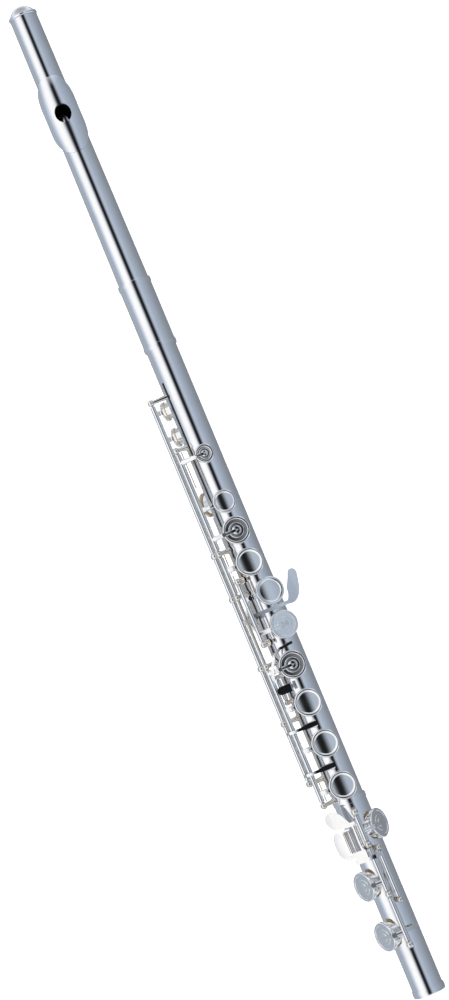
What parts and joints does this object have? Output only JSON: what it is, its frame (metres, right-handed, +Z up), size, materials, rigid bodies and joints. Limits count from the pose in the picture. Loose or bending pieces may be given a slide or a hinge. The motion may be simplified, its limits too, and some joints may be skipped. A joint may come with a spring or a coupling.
{
  "type": "concert flute",
  "caption": "Closed-hole concert flute with offset G and C foot: silver tubes, lip plate, sprung padded keys on hinge rods, trill keys, rollers.",
  "frame": {"origin": "centre of the foot joint's open end, on the bore's axis", "axes": "+X along the bore to the crown, +Y to the side of the hinge rods, +Z up through the finger keys"},
  "size_m": [0.67, 0.0459, 0.0389],
  "materials": {
    "silver": "polished",
    "steel": "polished",
    "spring_gold": "satin",
    "brass": "satin",
    "pad_skin": "satin",
    "cork": "matte"
  },
  "bodies": {
    "body_joint": {"body_tube": "silver", "barrel": "silver", "barrel_rings": "silver", "body_ribs": "silver", "body_posts": "silver", "hinge_rods": "steel", "body_springs": "spring_gold"},
    "head_joint": {"head_tube": "silver", "lip_plate": "silver", "riser": "silver", "stopper_stem": "brass", "stopper_cork": "cork"},
    "crown": {"crown": "silver"},
    "foot_joint": {"foot_tube": "silver", "foot_socket_ring": "silver", "foot_end_ring": "silver", "foot_rib": "silver", "foot_posts": "silver", "foot_rods": "steel", "foot_springs": "spring_gold"},
    "c_sharp": {"c_sharp_key": "silver", "c_sharp_pad": "pad_skin"},
    "b_flat": {"b_flat_key": "silver", "b_flat_pad": "pad_skin"},
    "a": {"a_key": "silver", "a_pad": "pad_skin"},
    "g": {"g_key": "silver", "g_pad": "pad_skin"},
    "g_lower": {"g_lower_key": "silver", "g_lower_pad": "pad_skin"},
    "g_sharp": {"g_sharp_key": "silver", "g_sharp_pad": "pad_skin"},
    "f_sharp": {"f_sharp_key": "silver", "f_sharp_pad": "pad_skin"},
    "f": {"f_key": "silver", "f_pad": "pad_skin"},
    "e": {"e_key": "silver", "e_pad": "pad_skin"},
    "d": {"d_key": "silver", "d_pad": "pad_skin"},
    "d_trill": {"d_trill_key": "silver", "d_trill_pad": "pad_skin"},
    "d_sharp_trill": {"d_sharp_trill_key": "silver", "d_sharp_trill_pad": "pad_skin"},
    "thumb": {"thumb_key": "silver", "thumb_pad": "pad_skin"},
    "e_flat": {"e_flat_key": "silver", "e_flat_pad": "pad_skin"},
    "low_c_sharp": {"low_c_sharp_key": "silver", "low_c_sharp_pad": "pad_skin"},
    "low_c": {"low_c_key": "silver", "low_c_pad": "pad_skin"},
    "thumb_b_flat": {"thumb_b_flat_lever": "silver"},
    "b_flat_side": {"b_flat_side_lever": "silver"},
    "low_c_lever": {"low_c_lever": "silver"},
    "inner_roller": {"inner_roller": "silver"},
    "outer_roller": {"outer_roller": "silver"}
  },
  "joints": [
    {"name": "head_tuning_slide", "type": "slide", "parent": "body_joint", "child": "head_joint", "axis": [1, 0, 0], "range_m": [-0.003, 0.012]},
    {"name": "crown_screw", "type": "hinge", "parent": "head_joint", "child": "crown", "pos_m": [0.664, 0, 0], "axis": [1, 0, 0], "continuous": true},
    {"name": "foot_turn", "type": "hinge", "parent": "body_joint", "child": "foot_joint", "pos_m": [0.125, 0, 0], "axis": [1, 0, 0], "range_deg": [-20, 20]},
    {"name": "c_sharp_hinge", "type": "hinge", "parent": "body_joint", "child": "c_sharp", "pos_m": [0.345, 0.0161, 0.0105], "axis": [1, 0, 0], "range_deg": [0, 4.5], "stiffness_Nm_per_rad": 0.02, "springref_deg": -11.46},
    {"name": "a_hinge", "type": "hinge", "parent": "body_joint", "child": "a", "pos_m": [0.2899, 0.0161, 0.0105], "axis": [1, 0, 0], "range_deg": [0, 4.5], "stiffness_Nm_per_rad": 0.02, "springref_deg": -11.46},
    {"name": "b_flat_hinge", "type": "hinge", "parent": "body_joint", "child": "b_flat", "pos_m": [0.3112, 0.0161, 0.0105], "axis": [1, 0, 0], "range_deg": [0, 4.5], "stiffness_Nm_per_rad": 0.02, "springref_deg": -11.46},
    {"name": "g_hinge", "type": "hinge", "parent": "body_joint", "child": "g", "pos_m": [0.2687, 0.01194, 0.01507], "axis": [1, 0, 0], "range_deg": [0, 4.5], "stiffness_Nm_per_rad": 0.02, "springref_deg": -11.46},
    {"name": "g_lower_hinge", "type": "hinge", "parent": "body_joint", "child": "g_lower", "pos_m": [0.246, 0.01194, 0.01507], "axis": [1, 0, 0], "range_deg": [0, 4.5], "stiffness_Nm_per_rad": 0.02, "springref_deg": -11.46},
    {"name": "g_sharp_hinge", "type": "hinge", "parent": "body_joint", "child": "g_sharp", "pos_m": [0.2577, 0.01194, 0.01507], "axis": [1, 0, 0], "range_deg": [0, 7], "stiffness_Nm_per_rad": 0.02, "springref_deg": -11.46},
    {"name": "f_hinge", "type": "hinge", "parent": "body_joint", "child": "f", "pos_m": [0.1957, 0.0161, 0.0105], "axis": [1, 0, 0], "range_deg": [0, 4.5], "stiffness_Nm_per_rad": 0.02, "springref_deg": -11.46},
    {"name": "f_sharp_hinge", "type": "hinge", "parent": "body_joint", "child": "f_sharp", "pos_m": [0.221, 0.0161, 0.0105], "axis": [1, 0, 0], "range_deg": [0, 4.5], "stiffness_Nm_per_rad": 0.02, "springref_deg": -11.46},
    {"name": "e_hinge", "type": "hinge", "parent": "body_joint", "child": "e", "pos_m": [0.1684, 0.0161, 0.0105], "axis": [1, 0, 0], "range_deg": [0, 4.5], "stiffness_Nm_per_rad": 0.02, "springref_deg": -11.46},
    {"name": "d_hinge", "type": "hinge", "parent": "body_joint", "child": "d", "pos_m": [0.1404, 0.0161, 0.0105], "axis": [1, 0, 0], "range_deg": [0, 4.5], "stiffness_Nm_per_rad": 0.02, "springref_deg": -11.46},
    {"name": "d_trill_hinge", "type": "hinge", "parent": "body_joint", "child": "d_trill", "pos_m": [0.28, 0.0192, 0.006], "axis": [1, 0, 0], "range_deg": [0, 8], "stiffness_Nm_per_rad": 0.02, "springref_deg": -11.46},
    {"name": "d_sharp_trill_hinge", "type": "hinge", "parent": "body_joint", "child": "d_sharp_trill", "pos_m": [0.28, 0.0192, 0.006], "axis": [1, 0, 0], "range_deg": [0, 8], "stiffness_Nm_per_rad": 0.02, "springref_deg": -11.46},
    {"name": "thumb_hinge", "type": "hinge", "parent": "body_joint", "child": "thumb", "pos_m": [0.325, -0.00163, -0.01551], "axis": [1, 0, 0], "range_deg": [0, 3.6], "stiffness_Nm_per_rad": 0.02, "springref_deg": -11.46},
    {"name": "thumb_b_flat_hinge", "type": "hinge", "parent": "body_joint", "child": "thumb_b_flat", "pos_m": [0.306, -0.00163, -0.01551], "axis": [1, 0, 0], "range_deg": [0, 3.6], "stiffness_Nm_per_rad": 0.02, "springref_deg": -11.46},
    {"name": "b_flat_side_hinge", "type": "hinge", "parent": "body_joint", "child": "b_flat_side", "pos_m": [0.2084, 0.0124, 0.0082], "axis": [1, 0, 0], "range_deg": [0, 6], "stiffness_Nm_per_rad": 0.02, "springref_deg": -11.46},
    {"name": "e_flat_hinge", "type": "hinge", "parent": "foot_joint", "child": "e_flat", "pos_m": [0.1098, 0, 0.017], "axis": [-1, 0, 0], "range_deg": [0, 8], "stiffness_Nm_per_rad": 0.02, "springref_deg": -11.46},
    {"name": "low_c_sharp_hinge", "type": "hinge", "parent": "foot_joint", "child": "low_c_sharp", "pos_m": [0.084, 0, 0.017], "axis": [-1, 0, 0], "range_deg": [0, 4.5], "stiffness_Nm_per_rad": 0.02, "springref_deg": -11.46},
    {"name": "low_c_lever_hinge", "type": "hinge", "parent": "foot_joint", "child": "low_c_lever", "pos_m": [0.08, -0.0052, 0.0156], "axis": [-1, 0, 0], "range_deg": [0, 4.5], "stiffness_Nm_per_rad": 0.02, "springref_deg": -11.46},
    {"name": "low_c_hinge", "type": "hinge", "parent": "foot_joint", "child": "low_c", "pos_m": [0.05, 0, 0.017], "axis": [-1, 0, 0], "range_deg": [0, 4.5], "stiffness_Nm_per_rad": 0.02, "springref_deg": -11.46},
    {"name": "inner_roller_spin", "type": "hinge", "parent": "low_c_lever", "child": "inner_roller", "pos_m": [0.1065, 0.008, 0.0173], "axis": [1, 0, 0], "continuous": true},
    {"name": "outer_roller_spin", "type": "hinge", "parent": "low_c_lever", "child": "outer_roller", "pos_m": [0.1065, 0.011, 0.0159], "axis": [1, 0, 0], "continuous": true}
  ],
  "couplings": [
    {"joint": "b_flat_hinge", "follows": "a_hinge", "ratio": 1},
    {"joint": "g_lower_hinge", "follows": "g_hinge", "ratio": 1},
    {"joint": "f_sharp_hinge", "follows": "f_hinge", "ratio": 1},
    {"joint": "low_c_hinge", "follows": "low_c_lever_hinge", "ratio": 1}
  ]
}
